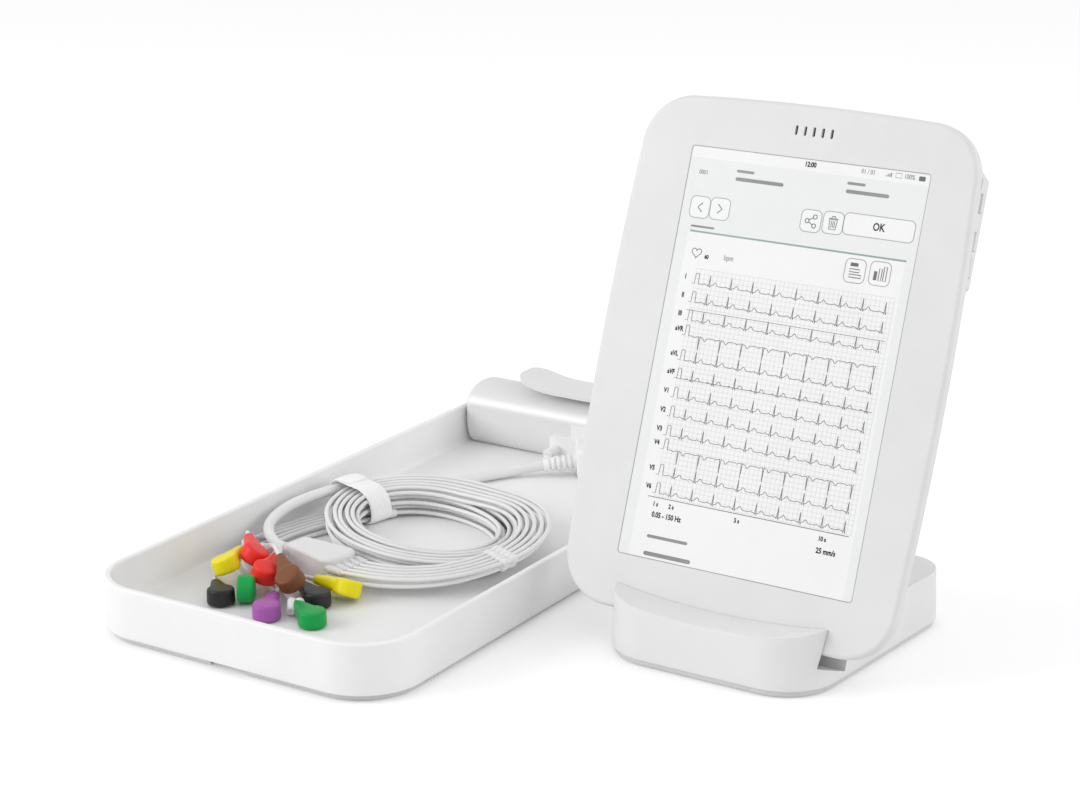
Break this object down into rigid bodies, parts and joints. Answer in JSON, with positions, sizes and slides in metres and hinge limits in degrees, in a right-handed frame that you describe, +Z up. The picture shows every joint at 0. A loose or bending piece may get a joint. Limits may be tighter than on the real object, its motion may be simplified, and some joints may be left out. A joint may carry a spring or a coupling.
{
  "type": "tablet ecg system",
  "caption": "Tablet electrocardiograph leaning in its charging dock, beside an open tray with the clip-on recorder, its trunk cable and a tied coil of lead wires ending in coloured snap clips.",
  "frame": {"origin": "on the surface the set stands on, under the middle of the set's bounding box", "axes": "+X to the right as seen from the front, +Y away from the viewer along the tray, +Z up"},
  "size_m": [0.3223, 0.351, 0.2201],
  "materials": {
    "white_housing": "satin",
    "button_plastic": "satin",
    "base_plastic": "satin",
    "foot_rubber": "matt",
    "screen_glass": "polished",
    "display": "gloss",
    "inner_frame": "satin",
    "cell_wrap": "matt",
    "circuit_board": "gloss",
    "dark_plastic": "matt",
    "contact_metal": "polished",
    "screw_steel": "satin",
    "ballast_steel": "matt",
    "recorder_plastic": "satin",
    "plug_plastic": "satin",
    "splitter_plastic": "satin",
    "cable_jacket": "satin",
    "tie_fabric": "matt",
    "yellow_plastic": "satin",
    "red_plastic": "satin",
    "green_plastic": "satin",
    "black_plastic": "satin",
    "brown_plastic": "satin",
    "violet_plastic": "satin"
  },
  "bodies": {
    "root": {"tray_shell": "white_housing", "tray_base": "base_plastic", "tray_feet": "foot_rubber", "dock_shell": "white_housing", "dock_base": "base_plastic", "dock_feet": "foot_rubber", "dock_screws": "screw_steel", "ballast_plate": "ballast_steel", "dock_board": "circuit_board", "power_socket": "dark_plastic", "cradle_pad": "foot_rubber", "contact_block": "dark_plastic"},
    "tablet": {"front_bezel": "white_housing", "touch_glass": "screen_glass", "display_panel": "display", "mid_frame": "inner_frame", "rear_cover": "white_housing", "battery": "cell_wrap", "mainboard": "circuit_board", "speaker": "dark_plastic", "contact_pads": "contact_metal", "rear_screws": "screw_steel"},
    "power_button": {"power_button": "button_plastic"},
    "volume_up_button": {"volume_up_button": "button_plastic"},
    "volume_down_button": {"volume_down_button": "button_plastic"},
    "contact_pins": {"contact_pins": "contact_metal"},
    "ecg_set": {"recorder_case": "recorder_plastic", "recorder_end_caps": "recorder_plastic", "recorder_battery": "cell_wrap", "recorder_board": "circuit_board", "lead_socket": "plug_plastic", "clip_bracket": "recorder_plastic", "plug_hood": "plug_plastic", "plug_insert": "contact_metal", "plug_relief": "cable_jacket", "splitter_top": "splitter_plastic", "splitter_base": "splitter_plastic", "splitter_relief": "cable_jacket", "lead_reliefs": "cable_jacket", "trunk_cable": "cable_jacket", "lead_coils": "cable_jacket", "lead_tails": "cable_jacket", "cable_tie": "tie_fabric", "yellow_chest_clip": "yellow_plastic", "brown_chest_clip": "brown_plastic", "black_chest_clip": "black_plastic", "red_chest_clip": "red_plastic", "green_chest_clip": "green_plastic", "red_clip": "red_plastic", "violet_chest_clip": "violet_plastic", "yellow_clip": "yellow_plastic", "green_clip": "green_plastic", "black_clip": "black_plastic", "clip_sockets": "screw_steel"},
    "belt_clip": {"belt_clip": "recorder_plastic"},
    "thumbscrew_left": {"thumbscrew_left": "plug_plastic"},
    "thumbscrew_right": {"thumbscrew_right": "plug_plastic"}
  },
  "joints": [
    {"name": "tablet_lift", "type": "slide", "parent": "root", "child": "tablet", "axis": [0, 0.342, 0.9397], "range_m": [0, 0.06]},
    {"name": "power_press", "type": "slide", "parent": "tablet", "child": "power_button", "axis": [-1, 0, 0], "range_m": [0, 0.0006], "stiffness_N_per_m": 500, "springref_m": -0.0004},
    {"name": "volume_up_press", "type": "slide", "parent": "tablet", "child": "volume_up_button", "axis": [-1, 0, 0], "range_m": [0, 0.0006], "stiffness_N_per_m": 500, "springref_m": -0.0004},
    {"name": "volume_down_press", "type": "slide", "parent": "tablet", "child": "volume_down_button", "axis": [-1, 0, 0], "range_m": [0, 0.0006], "stiffness_N_per_m": 500, "springref_m": -0.0004},
    {"name": "contact_pins_press", "type": "slide", "parent": "root", "child": "contact_pins", "axis": [0, -0.342, -0.9397], "range_m": [0, 0.0008], "stiffness_N_per_m": 500, "springref_m": -0.0004},
    {"name": "ecg_set_lift", "type": "slide", "parent": "root", "child": "ecg_set", "axis": [0, 0, 1], "range_m": [0, 0.08]},
    {"name": "belt_clip_hinge", "type": "hinge", "parent": "ecg_set", "child": "belt_clip", "pos_m": [-0.04755, 0.1313, 0.0388], "axis": [0, 1, 0], "range_deg": [0, 8], "stiffness_Nm_per_rad": 0.6, "springref_deg": -8.59},
    {"name": "thumbscrew_left_turn", "type": "hinge", "parent": "ecg_set", "child": "thumbscrew_left", "pos_m": [-0.09985, 0.1, 0.0135], "axis": [0, 1, 0], "continuous": true},
    {"name": "thumbscrew_right_turn", "type": "hinge", "parent": "ecg_set", "child": "thumbscrew_right", "pos_m": [-0.06725, 0.1, 0.0135], "axis": [0, 1, 0], "continuous": true}
  ]
}
